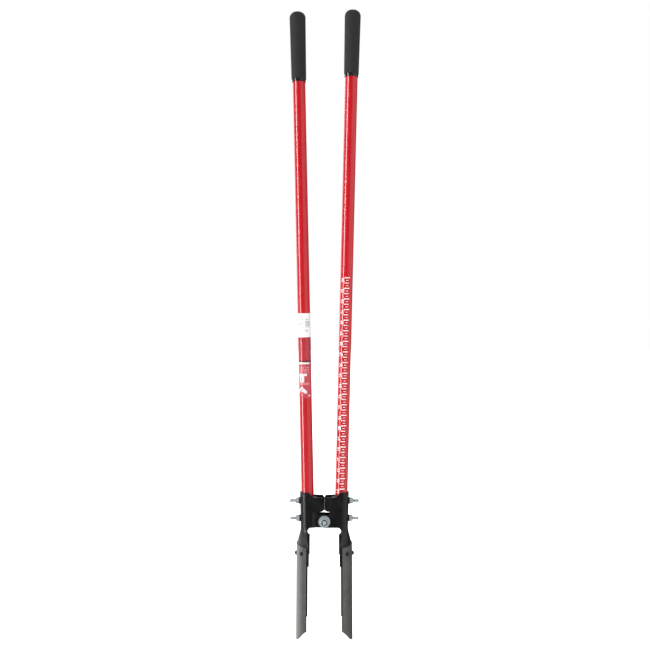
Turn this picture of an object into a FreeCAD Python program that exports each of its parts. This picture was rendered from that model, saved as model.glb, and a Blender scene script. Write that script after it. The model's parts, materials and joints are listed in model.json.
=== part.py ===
# Clamshell post hole digger: two long tube handles in two pressed yokes, hinged on one bolt, with two curved
# digging blades riveted below. Millimetres, +Z up, +X to the right of the user, +Y away from the depth scale's side.
# The origin is on the ground, midway between the blade tips.
# Everything is drawn for the left half; the right half is the same turned half a turn about Z.
import FreeCAD, Part
import Sketcher
import math
import os
import re

Vector = FreeCAD.Vector
X_AXIS = Vector(1, 0, 0)
Y_AXIS = Vector(0, 1, 0)
Z_AXIS = Vector(0, 0, 1)

doc = FreeCAD.newDocument("post_hole_digger")

SIZES = {
    # main lines
    "pivot_height": 287.0,
    "handle_offset": 39.4,
    "handle_tilt": 1.27,
    "blade_splay": 0.3,
    "loose_fit": 0.1,
    "face_gap": 0.3,
    "tab_gap": 0.1,
    # handle tube, core plug and grip
    "tube_radius": 15.25,
    "tube_wall": 3.0,
    "tube_length": 1226.0,
    "tube_below_pivot": 10.0,
    "right_handle_rise": 4.6,
    "plug_length": 85.0,
    "left_grip_length": 161.0,
    "right_grip_length": 153.0,
    "grip_top_radius": 19.25,
    "grip_low_radius": 17.75,
    "grip_top_wall": 7.5,
    "grip_dome_radius": 14.5,
    "collar_length": 7.0,
    "collar_radius": 16.6,
    # labels
    "label_gap": 0.05,
    "label_thickness": 0.2,
    "product_label_start": 297.0,
    "product_label_length": 146.0,
    "barcode_label_length": 57.5,
    # pressed yoke: socket, stop tab, slot and ears
    "plate": 3.0,
    "socket_clearance": 0.15,
    "socket_top": 69.0,
    "socket_shoulder": 37.5,
    "flange_top": 57.5,
    "flange_shoulder": 27.0,
    "notch_half_width": 3.5,
    "notch_depth": 6.0,
    "flange_step": 1.0,
    "tab_bottom": 28.5,
    "tab_corner_width": 6.0,
    "tab_corner_height": 4.5,
    "slot_end": 14.5,
    "slot_height": 19.3,
    "slot_end_radius": 4.3,
    "ear_radius": 15.0,
    "joggle_outer": 29.0,
    "joggle_inner": 22.0,
    "joggle_top": 23.0,
    "ear_stock": 5.0,
    "socket_foot_drop": 1.0,
    # pressed yoke: neck and leg
    "arch_half_width": 32.0,
    "arch_corner_radius": 8.0,
    "waist_half_width": 41.0,
    "waist_drop": 34.0,
    "neck_foot_half_width": 37.5,
    "neck_foot_drop": 47.5,
    "leg_drop": 98.0,
    "leg_top_fall": 7.0,
    "flare_overlap": 4.0,
    "seat_radius": 8.25,
    "seat_height": 2.5,
    # blade
    "blade_radius": 76.0,
    "blade_thickness": 2.6,
    "blade_offset": 67.5,
    "blade_half_width": 56.4,
    "blade_drop": 54.0,
    "blade_point_radius": 49.0,
    "blade_point_half_width": 36.0,
    "blade_shoulder_height": 36.9,
    "leg_gap": 0.3,
    "leg_half_width": 56.8,
    # rivets
    "rivet_radius": 2.6,
    "rivet_head_radius": 5.25,
    "rivet_head_height": 4.7,
    "rivet_tail_radius": 4.5,
    "rivet_tail_height": 1.6,
    "rivet_drop": 79.5,
    "side_rivet_drop": 70.5,
    "side_rivet_reach": 43.0,
    # handle bolts
    "bolt_radius": 4.0,
    "bolt_length": 60.0,
    "bolt_head_height": 5.3,
    "bolt_flats": 13.0,
    "nut_height": 6.5,
    "thread_gap": 0.05,
    "washer_radius": 8.0,
    "washer_thickness": 1.6,
    "upper_bolt_height": 48.0,
    "lower_bolt_height": 5.6,
    # pivot
    "pivot_radius": 5.0,
    "pivot_clearance": 0.08,
    "pivot_head_height": 6.4,
    "pivot_flats": 17.0,
    "pivot_nut_height": 10.0,
    "pivot_tip": 3.0,
    "pivot_washer_radius": 14.0,
    "pivot_washer_thickness": 2.0,
    "spacer_radius": 8.0,
}

sheet = doc.addObject("Spreadsheet::Sheet", "sizes")
for row, (alias, value) in enumerate(SIZES.items(), start=1):
    sheet.set("A%d" % row, alias)
    sheet.set("B%d" % row, str(value))
    sheet.setAlias("B%d" % row, alias)
doc.recompute()

sub_parts = []


def size(alias):
    return float(sheet.get(alias))


def expression(text):
    """Point every size named in text at its cell."""
    return re.sub(r"[a-z_]+", lambda m: "sizes." + m.group() if m.group() in SIZES else m.group(), str(text))


def number(text):
    return float(sheet.evalExpression(expression(text)))


# ---------------------------------------------------------------- sketches and features

def new_body(name):
    body = doc.addObject("PartDesign::Body", name)
    body.Label = name
    return body


def new_sketch(body, plane, rise="0"):
    """An empty sketch on one of the body's own origin planes, moved along the plane's normal by rise."""
    sketch = body.newObject("Sketcher::SketchObject", body.Name + "_sketch")
    origin_plane = [item for item in body.Origin.OriginFeatures if item.Role == plane][0]
    sketch.AttachmentSupport = (origin_plane, "")
    sketch.MapMode = "FlatFace"
    sketch.setExpression("AttachmentOffset.Base.z", expression(rise))
    return sketch


def pin_point(sketch, geometry, point, place):
    """Hold one point of a sketch at the place (two expressions)."""
    for text, kind, axis in ((place[0], "DistanceX", -2), (place[1], "DistanceY", -1)):
        if text == "0":
            sketch.addConstraint(Sketcher.Constraint("PointOnObject", geometry, point, axis))
            continue
        index = sketch.addConstraint(Sketcher.Constraint(kind, -1, 1, geometry, point, number(text)))
        sketch.setExpression("Constraints[%d]" % index, expression(text))


def circle(sketch, radius, place=("0", "0")):
    centre = Vector(number(place[0]), number(place[1]), 0)
    index = sketch.addGeometry(Part.Circle(centre, Z_AXIS, number(radius)), False)
    pin_point(sketch, index, 3, place)
    bound = sketch.addConstraint(Sketcher.Constraint("Radius", index, number(radius)))
    sketch.setExpression("Constraints[%d]" % bound, expression(radius))


def arc_between(start, end, radius, turn):
    """The short arc from start to end. turn is 1 when its centre lies to the left of the way, -1 to the right."""
    chord = end - start
    left = Vector(-chord.y, chord.x, 0).normalize()
    centre = (start + end) * 0.5 + left * (turn * math.sqrt(radius**2 - (chord.Length / 2) ** 2))
    first, last = (start, end) if turn > 0 else (end, start)
    angles = [math.atan2(point.y - centre.y, point.x - centre.x) for point in (first, last)]
    return Part.ArcOfCircle(Part.Circle(centre, Z_AXIS, radius), angles[0], angles[1])


def outline(sketch, corners, arcs=None):
    """A closed outline through corners (two expressions each). arcs gives the edges that leave a corner as an
    arc instead of a line: {corner number: (radius, turn)}."""
    arcs = arcs or {}
    points = [Vector(number(x), number(y), 0) for x, y in corners]
    count = len(points)
    ends = []
    for index, point in enumerate(points):
        following = points[(index + 1) % count]
        if index in arcs:
            radius, turn = arcs[index]
            edge = sketch.addGeometry(arc_between(point, following, number(radius), turn), False)
            ends.append((edge, 1, 2) if turn > 0 else (edge, 2, 1))
            bound = sketch.addConstraint(Sketcher.Constraint("Radius", edge, number(radius)))
            sketch.setExpression("Constraints[%d]" % bound, expression(radius))
        else:
            edge = sketch.addGeometry(Part.LineSegment(point, following), False)
            ends.append((edge, 1, 2))
    for index, (edge, start, finish) in enumerate(ends):
        before, before_start, before_finish = ends[index - 1]
        sketch.addConstraint(Sketcher.Constraint("Coincident", before, before_finish, edge, start))
        pin_point(sketch, edge, start, corners[index])


def hexagon(sketch, flats):
    wide = "(%s) / sqrt(3)" % flats
    half = "(%s) / 2" % flats
    narrow = "(%s) / 2 / sqrt(3)" % flats
    corners = [(wide, "0"), (narrow, half), ("-" + narrow, half), ("-" + wide, "0")]
    outline(sketch, corners + [("-" + narrow, "-" + half), (narrow, "-" + half)])


def pad(body, sketch, length, reverse=False):
    feature = body.newObject("PartDesign::Pad", body.Name + "_pad")
    feature.Profile = sketch
    feature.Reversed = reverse
    feature.setExpression("Length", expression(length))
    return feature


def pocket_through(body, sketch):
    """Cut the sketch through the whole body, both ways."""
    feature = body.newObject("PartDesign::Pocket", body.Name + "_pocket")
    feature.Profile = sketch
    feature.Type = "ThroughAll"
    feature.SideType = "Symmetric"
    return feature


def revolve(body, sketch, axis):
    feature = body.newObject("PartDesign::Revolution", body.Name + "_turned")
    feature.Profile = sketch
    feature.ReferenceAxis = (sketch, [axis])
    feature.Angle = 360.0
    return feature


def turn_off(body, *triangles):
    """Turn corners off a piece round its own Z axis. Each triangle is three corners in the XZ plane."""
    sketch = new_sketch(body, "XZ_Plane")
    for triangle in triangles:
        outline(sketch, triangle)
    feature = body.newObject("PartDesign::Groove", body.Name + "_turned_off")
    feature.Profile = sketch
    feature.ReferenceAxis = (sketch, ["V_Axis"])
    feature.Angle = 360.0


def finish(body, placement):
    """Place a sub-part and put it on the list of pieces to write."""
    body.Placement = placement
    sub_parts.append(body)


# ---------------------------------------------------------------- frames of the two halves

SIDES = {"left": 0.0, "right": 180.0}


def half_turn(side):
    return FreeCAD.Placement(Vector(), FreeCAD.Rotation(Z_AXIS, SIDES[side]))


def pivot_frame():
    return FreeCAD.Placement(Vector(0, 0, size("pivot_height")), FreeCAD.Rotation())


def handle_frame(side):
    """Origin on the handle's own axis at the pivot's height, +Z up the handle, +X towards the other handle."""
    place = Vector(-size("handle_offset"), 0, size("pivot_height"))
    return half_turn(side) * FreeCAD.Placement(place, FreeCAD.Rotation(Y_AXIS, -size("handle_tilt")))


def blade_frame(side):
    """Origin on the blade's cylinder axis at the blade's top edge, +Z up that axis."""
    sink = size("blade_radius") * math.sin(math.radians(size("blade_splay")))
    place = Vector(number("blade_radius - blade_offset"), 0, number("pivot_height - blade_drop") - sink)
    return half_turn(side) * FreeCAD.Placement(place, FreeCAD.Rotation(Y_AXIS, size("blade_splay")))


def along(direction_from_z, place):
    """A placement at place whose +Z points along the given direction."""
    return FreeCAD.Placement(place, FreeCAD.Rotation(Z_AXIS, direction_from_z))


# ---------------------------------------------------------------- handle pieces

RISE = {"left": "0", "right": "right_handle_rise"}
BOLT_HEIGHTS = {"upper": "upper_bolt_height", "lower": "lower_bolt_height"}
TUBE_BORE = "(tube_radius - tube_wall)"


def cross_holes(body):
    """The two bolt holes, square across a tube or plug."""
    sketch = new_sketch(body, "YZ_Plane")
    for height in BOLT_HEIGHTS.values():
        circle(sketch, "bolt_radius + loose_fit", ("0", height))
    pocket_through(body, sketch)


def make_handle_tube(side):
    body = new_body(side + "_handle_tube")
    sketch = new_sketch(body, "XY_Plane", "%s - tube_below_pivot" % RISE[side])
    circle(sketch, "tube_radius")
    circle(sketch, TUBE_BORE)
    pad(body, sketch, "tube_length")
    cross_holes(body)
    finish(body, handle_frame(side))


def make_core_plug(side):
    body = new_body(side + "_core_plug")
    sketch = new_sketch(body, "XY_Plane", "%s - tube_below_pivot" % RISE[side])
    circle(sketch, TUBE_BORE + " - loose_fit")
    pad(body, sketch, "plug_length")
    cross_holes(body)
    finish(body, handle_frame(side))


def grip_foot(side):
    return "(%s - tube_below_pivot + tube_length + grip_top_wall - %s_grip_length)" % (RISE[side], side)


def make_grip(side):
    """A tapered sleeve with a domed top, bored from below to take the tube's end."""
    body = new_body(side + "_grip")
    sketch = new_sketch(body, "XZ_Plane")
    foot = grip_foot(side)
    length = side + "_grip_length"
    top = "%s + %s" % (foot, length)
    corners = [("0", foot), ("grip_low_radius", foot), ("grip_top_radius", top + " - grip_dome_radius"),
               ("grip_top_radius - grip_dome_radius", top), ("0", top)]
    outline(sketch, corners, {2: ("grip_dome_radius", 1)})
    revolve(body, sketch, "V_Axis")
    bore = new_sketch(body, "XY_Plane", foot)
    circle(bore, "tube_radius + loose_fit")
    pocket = body.newObject("PartDesign::Pocket", body.Name + "_bore")
    pocket.Profile = bore
    pocket.Reversed = True
    pocket.setExpression("Length", expression(length + " - grip_top_wall + loose_fit"))
    finish(body, handle_frame(side))


def make_grip_collar(side):
    body = new_body(side + "_grip_collar")
    sketch = new_sketch(body, "XY_Plane", grip_foot(side) + " - collar_length")
    circle(sketch, "collar_radius")
    circle(sketch, "tube_radius + loose_fit")
    pad(body, sketch, "collar_length")
    finish(body, handle_frame(side))


def make_label(name, start, length):
    """A thin printed sleeve on the left tube."""
    body = new_body(name)
    sketch = new_sketch(body, "XY_Plane", start)
    circle(sketch, "tube_radius + label_gap + label_thickness")
    circle(sketch, "tube_radius + label_gap")
    pad(body, sketch, length)
    finish(body, handle_frame("left"))


# ---------------------------------------------------------------- threaded fasteners

HEXAGON_CONE = (0.485, 0.62)  # radii of the cone over a hexagon's corners, in widths across flats
TIP_CUT = 0.2  # how far in a shank's tip is turned off, in shank radii


def hexagon_chamfer(flats, face):
    """The triangle that rounds a hexagon's six corners at its upper face."""
    inner, outer = ["(%s) * %g" % (flats, share) for share in HEXAGON_CONE]
    depth = "%s - (%s - %s) * tan(30)" % (face, outer, inner)
    return [(inner, face), (outer, face), (outer, depth)]


def tip_chamfer(radius, tip):
    """The triangle that turns the corner off a shank's lower end."""
    inner = "(%s) * (1 - %g)" % (radius, TIP_CUT)
    outer = "(%s) * (1 + %g)" % (radius, TIP_CUT)
    return [(inner, tip), (outer, tip), (outer, "%s + %s - %s" % (tip, outer, inner))]


def make_bolt(name, placement, radius, length, flats, head_height):
    """Shank down -Z from the head's seat at the origin, with chamfers on head and tip."""
    body = new_body(name)
    head = new_sketch(body, "XY_Plane")
    hexagon(head, flats)
    pad(body, head, head_height)
    shank = new_sketch(body, "XY_Plane")
    circle(shank, radius)
    pad(body, shank, length, reverse=True)
    turn_off(body, hexagon_chamfer(flats, head_height), tip_chamfer(radius, "-(%s)" % length))
    finish(body, placement)


def make_nut(name, placement, radius, flats, height):
    body = new_body(name)
    sketch = new_sketch(body, "XY_Plane")
    hexagon(sketch, flats)
    circle(sketch, radius + " + thread_gap")
    pad(body, sketch, height)
    turn_off(body, hexagon_chamfer(flats, height))
    finish(body, placement)


def make_ring(name, placement, outer, inner, thickness):
    """A washer or spacer, rising +Z from the origin."""
    body = new_body(name)
    sketch = new_sketch(body, "XY_Plane")
    circle(sketch, outer)
    circle(sketch, inner)
    pad(body, sketch, thickness)
    finish(body, placement)


SEAT_FACE = "(tube_radius + socket_clearance + plate + seat_height)"


def make_handle_fasteners(side, level):
    """Bolt head and washer on the tube's inner side, washer and nut on the yoke's seat outside."""
    frame = handle_frame(side)
    height = number(BOLT_HEIGHTS[level])
    head_seat = number("tube_radius + loose_fit / 2")
    seat_face = number(SEAT_FACE)
    washer = size("washer_thickness")
    name = "%s_%s_" % (side, level)
    make_ring(name + "head_washer", frame * along(X_AXIS, Vector(head_seat, 0, height)),
              "washer_radius", "bolt_radius + loose_fit", "washer_thickness")
    make_bolt(name + "bolt", frame * along(X_AXIS, Vector(head_seat + washer, 0, height)),
              "bolt_radius", "bolt_length", "bolt_flats", "bolt_head_height")
    make_ring(name + "nut_washer", frame * along(-X_AXIS, Vector(-seat_face, 0, height)),
              "washer_radius", "bolt_radius + loose_fit", "washer_thickness")
    make_nut(name + "nut", frame * along(-X_AXIS, Vector(-seat_face - washer, 0, height)),
             "bolt_radius", "bolt_flats", "nut_height")


# ---------------------------------------------------------------- pivot

OUTER_EAR_INSIDE = "(tube_radius + socket_clearance)"
OUTER_EAR_FACE = "(tube_radius + socket_clearance + plate)"
INNER_EAR_FACE = "(tube_radius + socket_clearance - face_gap)"
INNER_EAR_INSIDE = "(tube_radius + socket_clearance - face_gap - plate)"


def make_pivot():
    """Head and its washer at the rear on the left yoke's outer ear, lock nut in front over the right yoke's."""
    frame = pivot_frame()
    thickness = size("pivot_washer_thickness")
    rear = number(OUTER_EAR_FACE)
    front = number(OUTER_EAR_FACE + " + face_gap")
    hole = "pivot_radius + pivot_clearance"
    make_ring("pivot_rear_washer", frame * along(Y_AXIS, Vector(0, rear, 0)),
              "pivot_washer_radius", hole, "pivot_washer_thickness")
    make_ring("pivot_front_washer", frame * along(-Y_AXIS, Vector(0, -front, 0)),
              "pivot_washer_radius", hole, "pivot_washer_thickness")
    reach = OUTER_EAR_FACE + " * 2 + face_gap + pivot_washer_thickness * 2 + pivot_nut_height + pivot_tip"
    make_bolt("pivot_bolt", frame * along(Y_AXIS, Vector(0, rear + thickness, 0)),
              "pivot_radius", reach, "pivot_flats", "pivot_head_height")
    make_nut("pivot_lock_nut", frame * along(-Y_AXIS, Vector(0, -front - thickness, 0)),
             "pivot_radius", "pivot_flats", "pivot_nut_height")
    make_ring("pivot_spacer", frame * along(Y_AXIS, Vector(0, -number(INNER_EAR_INSIDE), 0)),
              "spacer_radius", hole, INNER_EAR_INSIDE + " * 2 - face_gap")


# ---------------------------------------------------------------- blades and rivets

def make_blade(side):
    """A sector of a tube cut square through its wall, with a round point."""
    body = new_body(side + "_blade")
    length = "pivot_height - blade_drop"
    ring = new_sketch(body, "XY_Plane")
    circle(ring, "blade_radius")
    circle(ring, "blade_radius - blade_thickness")
    pad(body, ring, length, reverse=True)

    rest_of_tube = new_sketch(body, "XY_Plane")
    beyond = "-2 * sqrt(pow(blade_radius; 2) - pow(blade_half_width; 2))"
    far = "blade_radius * 2"
    wide = "blade_half_width * 2"
    outline(rest_of_tube, [("0", "0"), (beyond, "-" + wide), (far, "-" + wide), (far, wide), (beyond, wide)])
    pocket_through(body, rest_of_tube)

    point = new_sketch(body, "YZ_Plane")
    tip = "-(%s)" % length
    arc_height = "%s + blade_point_radius - sqrt(pow(blade_point_radius; 2) - pow(blade_point_half_width; 2))" % tip
    shoulder = tip + " + blade_shoulder_height"
    below = tip + " - blade_radius"
    outline(point, [("-" + wide, below), (wide, below), (wide, shoulder), ("blade_half_width", shoulder),
                    ("blade_point_half_width", arc_height), ("0", tip), ("-blade_point_half_width", arc_height),
                    ("-blade_half_width", shoulder), ("-" + wide, shoulder)],
            {4: ("blade_point_radius", -1), 5: ("blade_point_radius", -1)})
    pocket_through(body, point)

    frame = blade_frame(side)
    for placement in rivet_places(side).values():
        cut_round_hole(body, frame.inverse() * placement)
    finish(body, frame)


RIVET_GRIP = "(blade_thickness + leg_gap + plate + face_gap)"


def cut_round_hole(body, placement):
    """A rivet hole, drilled along the placement's own Z."""
    sketch = body.newObject("Sketcher::SketchObject", body.Name + "_hole")
    plane = [item for item in body.Origin.OriginFeatures if item.Role == "XY_Plane"][0]
    sketch.AttachmentSupport = (plane, "")
    sketch.MapMode = "FlatFace"
    sketch.AttachmentOffset = placement
    circle(sketch, "rivet_radius + loose_fit")
    hole = body.newObject("PartDesign::Pocket", body.Name + "_drilled")
    hole.Profile = sketch
    hole.SideType = "Symmetric"
    hole.setExpression("Length", expression(RIVET_GRIP + " * 2"))


def rivet_places(side):
    """Each rivet's head seat on the blade's outer face, with +Z pointing straight out of the blade."""
    lean = math.asin(number("side_rivet_reach / blade_radius"))
    radius = size("blade_radius")
    top = size("blade_drop")
    places = {}
    for name, angle, drop in (("middle", 0.0, size("rivet_drop")), ("front", -lean, size("side_rivet_drop")),
                              ("rear", lean, size("side_rivet_drop"))):
        outward = Vector(-math.cos(angle), math.sin(angle), 0)
        places[name] = blade_frame(side) * along(outward, outward * radius + Vector(0, 0, top - drop))
    return places


def make_rivet(name, placement):
    """Domed head above the origin, shank through blade and leg, flat upset tail inside."""
    body = new_body(name)
    sketch = new_sketch(body, "XZ_Plane")
    tail_end = "-(%s + rivet_tail_height)" % RIVET_GRIP
    dome = "(pow(rivet_head_radius; 2) + pow(rivet_head_height; 2)) / (2 * rivet_head_height)"
    corners = [("0", tail_end), ("rivet_tail_radius", tail_end), ("rivet_tail_radius", "-" + RIVET_GRIP),
               ("rivet_radius", "-" + RIVET_GRIP), ("rivet_radius", "0"), ("rivet_head_radius", "0"),
               ("0", "rivet_head_height")]
    outline(sketch, corners, {5: (dome, 1)})
    revolve(body, sketch, "V_Axis")
    finish(body, placement)


# ---------------------------------------------------------------- pressed yoke

SLOT_FOOT_LEAN = 0.45  # how far in the slot's end starts at its foot, in slot end radii
SLOT_TOP_LEAN = 0.9  # the same at its top
EAR_FLAT = 0.6  # half the flat on top of the ear, in ear radii
NECK_FULLNESS = 0.985  # half width of the neck midway from waist to foot, in waist half widths
LEG_TOP_CURVE = 0.86  # share of the leg top's fall reached halfway in


def front_outline():
    """The yoke's outline seen from the front, as a prism through its whole depth. Origin on the pivot."""
    gap = size("tab_gap") / 2
    ear = size("ear_radius")
    waist = Vector(-size("waist_half_width"), 0, -size("waist_drop"))
    arch = size("arch_half_width")
    corner = size("arch_corner_radius")
    foot = Vector(-size("neck_foot_half_width"), 0, -size("neck_foot_drop"))
    fall = size("leg_top_fall")
    outside = -number("blade_offset + blade_radius")
    low = -size("leg_drop")
    slot_end = -size("slot_end")
    slot_height = size("slot_height")
    slot_radius = size("slot_end_radius")
    shoulder = -size("socket_shoulder")
    slot_low = Vector(slot_end + slot_radius * SLOT_FOOT_LEAN, 0, slot_height - slot_radius)
    slot_high = Vector(slot_end + slot_radius * SLOT_TOP_LEAN, 0, slot_height + slot_radius)
    flange_top = size("flange_top")
    tab_bottom = size("tab_bottom")
    notch = size("notch_half_width")

    def line(start, end):
        return Part.LineSegment(start, end).toShape()

    def arc(start, middle, end):
        return Part.Arc(start, middle, end).toShape()

    def point(x, z):
        return Vector(x, 0, z)

    ear_start = point(-ear * EAR_FLAT, ear)
    corner_start = point(-arch, -ear)
    corner_end = point(-arch - corner, -ear - corner)
    corner_middle = point(-arch - corner * math.sin(math.pi / 4), -ear - corner * (1 - math.cos(math.pi / 4)))
    neck_middle = point(waist.x * NECK_FULLNESS, (waist.z + foot.z) / 2)
    corners = [point(outside, size("socket_top")), point(shoulder, size("socket_top")),
               point(-size("flange_shoulder"), flange_top + size("flange_step")), point(-notch, flange_top),
               point(-gap, flange_top - size("notch_depth")), point(-gap, tab_bottom),
               point(-gap - size("tab_corner_width"), tab_bottom - size("tab_corner_height")), slot_high]
    edges = [line(start, end) for start, end in zip(corners, corners[1:])]
    edges.append(arc(slot_high, point(slot_end, slot_height), slot_low))
    edges.append(line(slot_low, ear_start))
    edges.append(line(ear_start, point(0, ear)))
    edges.append(arc(point(0, ear), point(ear, 0), point(0, -ear)))
    edges.append(line(point(0, -ear), corner_start))
    edges.append(arc(corner_start, corner_middle, corner_end))
    edges.append(line(corner_end, waist))
    edges.append(arc(waist, neck_middle, foot))
    rest = [foot, point(foot.x / 2, foot.z - fall * LEG_TOP_CURVE), point(0, foot.z - fall), point(0, low),
            point(outside, low), corners[0]]
    edges += [line(start, end) for start, end in zip(rest, rest[1:])]
    face = Part.Face(Part.Wire(edges))
    face.translate(Vector(0, -size("blade_radius"), 0))
    return face.extrude(Vector(0, size("blade_radius") * 2, 0))


def channel_points(radius, height, flange_end):
    """Half ring round the handle with straight flanges: end, middle, tangent point, back, and so on round."""
    centre = -size("handle_offset") - height * math.tan(math.radians(size("handle_tilt")))
    middle = (centre + flange_end) / 2
    half = [(flange_end, radius), (middle, radius), (centre, radius)]
    front = [Vector(x, -y, height) for x, y in half]
    rear = [Vector(x, y, height) for x, y in reversed(half)]
    return front + [Vector(centre - radius, 0, height)] + rear


FLANGE_START = 0.66  # where a flange starts on the leg's arc, as a share of its half angle
FLANGE_MIDDLE = 0.83


def scoop_points(radius, height):
    """The same seven points on an arc inside the blade. The arc is shared out as the channel's length is."""
    splay = math.tan(math.radians(size("blade_splay")))
    axis = number("blade_radius - blade_offset") + (height + size("blade_drop")) * splay
    half_angle = math.asin(number("leg_half_width / (blade_radius - blade_thickness)"))
    shares = [-1.0, -FLANGE_MIDDLE, -FLANGE_START, 0.0, FLANGE_START, FLANGE_MIDDLE, 1.0]
    angles = [half_angle * share for share in shares]
    return [Vector(axis - radius * math.cos(angle), radius * math.sin(angle), height) for angle in angles]


def yoke_section(height, blend, flange_end):
    """A closed section of the sheet at one height, blended from channel (0) to scoop (1)."""
    channel_radii = (number(OUTER_EAR_FACE), number(OUTER_EAR_INSIDE))
    scoop_outer = number("blade_radius - blade_thickness - leg_gap")
    scoop_radii = (scoop_outer, scoop_outer - size("plate"))
    sides = []
    for channel_radius, scoop_radius in zip(channel_radii, scoop_radii):
        channel = channel_points(channel_radius, height, flange_end)
        scoop = scoop_points(scoop_radius, height)
        sides.append([a * (1 - blend) + b * blend for a, b in zip(channel, scoop)])
    edges = []
    for points, forward in ((sides[0], True), (sides[1], False)):
        run = points if forward else list(reversed(points))
        for start in (0, 2, 4):
            edges.append(bent_edge(run[start], run[start + 1], run[start + 2]))
        other = sides[1][-1] if forward else sides[0][0]
        edges.append(Part.LineSegment(run[-1], other).toShape())
    return Part.Wire(edges)


STRAIGHT = 1e-6  # square millimetres between three points that are in line


def bent_edge(start, middle, end):
    """An arc through three points, or a line where they are in line."""
    if (middle - start).cross(end - start).Length < STRAIGHT:
        return Part.LineSegment(start, end).toShape()
    return Part.Arc(start, middle, end).toShape()


FLARE_BANDS = 6


def ease(share):
    """From 0 to 1, level at both ends."""
    return share * share * (3 - 2 * share)


def make_yoke_shape():
    """Pressed from one plate: channel round the handle, joggled front ear, flared neck and curved leg."""
    tilt = math.tan(math.radians(size("handle_tilt")))
    splay = math.tan(math.radians(size("blade_splay")))
    top = size("socket_top")
    base = -number("ear_radius + socket_foot_drop")
    leg_start = -size("blade_drop")

    socket_face = Part.Face(yoke_section(base, 0.0, number("ear_radius + ear_stock")))
    upper = socket_face.extrude(Vector(-(top - base) * tilt, 0, top - base))
    flare_flange_end = number("flare_overlap - joggle_outer")
    sections = []
    for band in range(FLARE_BANDS + 1):
        share = band / FLARE_BANDS
        sections.append(yoke_section(base + (leg_start - base) * share, ease(share), flare_flange_end))
    flare = Part.makeLoft(sections, True, False)
    leg_face = Part.Face(yoke_section(leg_start, 1.0, flare_flange_end))
    leg_length = size("leg_drop") + leg_start
    leg = leg_face.extrude(Vector(-leg_length * splay, 0, -leg_length))
    plate = upper.fuse([flare, leg]).common(front_outline())

    front_window = Part.makeBox(size("joggle_outer") + size("ear_radius") * 2, size("blade_radius"),
                                size("joggle_top") - base,
                                Vector(-size("joggle_outer"), -size("blade_radius"), base))
    plate = plate.cut(front_window).fuse(joggled_ear(base).common(front_outline()))

    plate = plate.fuse(nut_seats())
    plate = plate.cut(yoke_holes()).removeSplitter()
    if len(plate.Solids) != 1:
        raise SystemExit("the yoke is in %d pieces" % len(plate.Solids))
    return plate.Solids[0]


def joggled_ear(base):
    """The front ear, set inwards by a plate's thickness so that the two yokes' ears pass each other."""
    outer_face = -number(OUTER_EAR_FACE)
    outer_inside = -number(OUTER_EAR_INSIDE)
    inner_face = -number(INNER_EAR_FACE)
    inner_inside = -number(INNER_EAR_INSIDE)
    bend_start = -size("joggle_outer")
    bend_end = -size("joggle_inner")
    far = number("ear_radius + ear_stock")
    corners = [Vector(bend_start, outer_face, base), Vector(bend_end, inner_face, base),
               Vector(far, inner_face, base), Vector(far, inner_inside, base),
               Vector(bend_end, inner_inside, base), Vector(bend_start, outer_inside, base)]
    face = Part.Face(Part.makePolygon(corners + corners[:1]))
    return face.extrude(Vector(0, 0, size("joggle_top") - base))


def nut_seats():
    """Two flat round seats standing on the outside of the socket."""
    to_handle = pivot_frame().inverse() * handle_frame("left")
    start = number(OUTER_EAR_INSIDE + " + plate / 2")
    seats = []
    for height in BOLT_HEIGHTS.values():
        place = to_handle * along(-X_AXIS, Vector(-start, 0, number(height)))
        seat = Part.makeCylinder(size("seat_radius"), number(SEAT_FACE) - start)
        seat.Placement = place
        seats.append(seat)
    return seats


def yoke_holes():
    """Bolt holes, pivot hole through both ears, and rivet holes."""
    pivot = pivot_frame()
    to_handle = pivot.inverse() * handle_frame("left")
    reach = size("blade_radius")
    holes = []
    for height in BOLT_HEIGHTS.values():
        hole = Part.makeCylinder(number("bolt_radius + loose_fit"), reach)
        hole.Placement = to_handle * along(-X_AXIS, Vector(0, 0, number(height)))
        holes.append(hole)
    holes.append(Part.makeCylinder(number("pivot_radius + pivot_clearance"), reach,
                                   Vector(0, -reach / 2, 0), Y_AXIS))
    depth = number(RIVET_GRIP) * 2
    for place in rivet_places("left").values():
        hole = Part.makeCylinder(number("rivet_radius + loose_fit"), depth, Vector(0, 0, -depth))
        hole.Placement = pivot.inverse() * place
        holes.append(hole)
    return holes


def make_yoke(side, shape):
    feature = doc.addObject("Part::Feature", side + "_yoke")
    feature.Label = side + "_yoke"
    feature.Shape = shape
    finish(feature, half_turn(side) * pivot_frame())


# ---------------------------------------------------------------- the whole tool

def build():
    yoke_shape = make_yoke_shape()
    for side in SIDES:
        make_handle_tube(side)
        make_core_plug(side)
        make_grip(side)
        make_grip_collar(side)
        make_yoke(side, yoke_shape)
        make_blade(side)
        for name, placement in rivet_places(side).items():
            make_rivet("%s_rivet_%s" % (side, name), placement)
        for level in BOLT_HEIGHTS:
            make_handle_fasteners(side, level)
    make_label("product_label", "product_label_start", "product_label_length")
    make_label("barcode_label", "product_label_start + product_label_length", "barcode_label_length")
    make_pivot()
    doc.recompute()


def check_and_write():
    for item in doc.Objects:
        if "Invalid" in item.State or "Error" in item.State:
            raise SystemExit("failed: %s %s" % (item.Name, item.State))
    for item in sub_parts:
        if item.Shape.isNull() or not item.Shape.isValid() or len(item.Shape.Solids) != 1:
            raise SystemExit("bad shape: %s" % item.Label)
    os.makedirs("parts", exist_ok=True)
    for item in sub_parts:
        item.Shape.exportStep("parts/%s.step" % item.Label)
    print("pieces:", len(sub_parts))


build()
check_and_write()
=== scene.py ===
"""Looks of the clamshell post hole digger: finishes for the pieces that come with the frame, and the pieces
that only the looks need, which are the foam grips, the threaded bolts, the nylon ring and the depth scale.

Metres, +Z up, and the side with the depth scale faces -Y. "Left" and "right" are the two halves.
"""

import json
import math

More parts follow.
